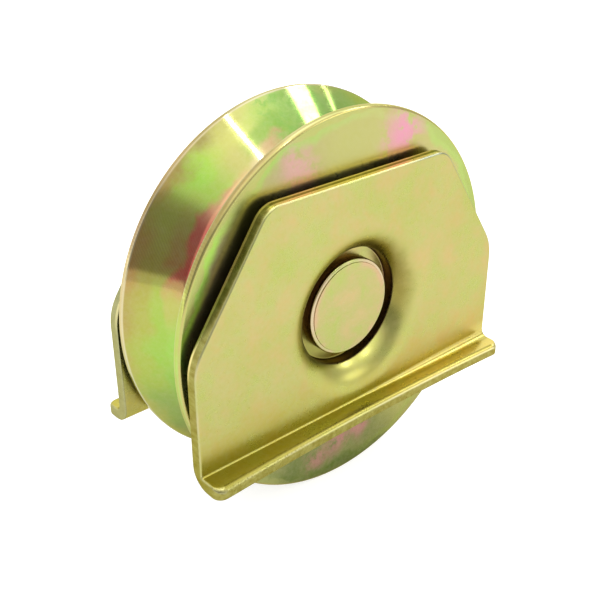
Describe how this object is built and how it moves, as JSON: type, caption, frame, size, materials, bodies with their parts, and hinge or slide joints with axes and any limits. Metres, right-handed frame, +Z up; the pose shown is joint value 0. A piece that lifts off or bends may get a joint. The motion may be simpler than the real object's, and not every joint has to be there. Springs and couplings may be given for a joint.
{
  "type": "gate wheel",
  "caption": "V-groove sliding gate wheel on a sealed ball bearing, held by a riveted pin between two pressed steel brackets with out-turned weld flanges.",
  "frame": {"origin": "centre of the wheel, on the axle, midway between the brackets", "axes": "+Y along the axle towards the rear bracket, +Z up towards the gate, +X along the track"},
  "size_m": [0.1, 0.0482, 0.1],
  "materials": {
    "wheel_zinc": "turned steel, yellow zinc passivated",
    "bracket_zinc": "pressed steel, yellow zinc passivated, satin",
    "pin_zinc": "turned steel, yellow zinc passivated",
    "ring_steel": "ground bearing steel",
    "ball_steel": "polished bearing steel",
    "cage_steel": "pressed sheet steel",
    "shield_steel": "pressed sheet steel, satin",
    "clip_steel": "phosphated spring steel"
  },
  "bodies": {
    "frame": {"bracket_front": "bracket_zinc", "bracket_rear": "bracket_zinc", "axle_pin": "pin_zinc", "bearing_inner_ring": "ring_steel"},
    "wheel": {"wheel": "wheel_zinc", "bearing_outer_ring": "ring_steel", "shield_front": "shield_steel", "shield_rear": "shield_steel", "retaining_ring": "clip_steel"},
    "cage": {"cage_front": "cage_steel", "cage_rear": "cage_steel", "cage_rivets": "cage_steel", "ball_1": "ball_steel", "ball_2": "ball_steel", "ball_3": "ball_steel", "ball_4": "ball_steel", "ball_5": "ball_steel", "ball_6": "ball_steel", "ball_7": "ball_steel", "ball_8": "ball_steel"}
  },
  "joints": [
    {"name": "wheel_spin", "type": "hinge", "parent": "frame", "child": "wheel", "pos_m": [0, 0, 0], "axis": [0, 1, 0], "continuous": true},
    {"name": "cage_spin", "type": "hinge", "parent": "frame", "child": "cage", "pos_m": [0, 0, 0], "axis": [0, 1, 0], "continuous": true}
  ],
  "couplings": [
    {"joint": "cage_spin", "follows": "wheel_spin", "ratio": 0.6185}
  ]
}
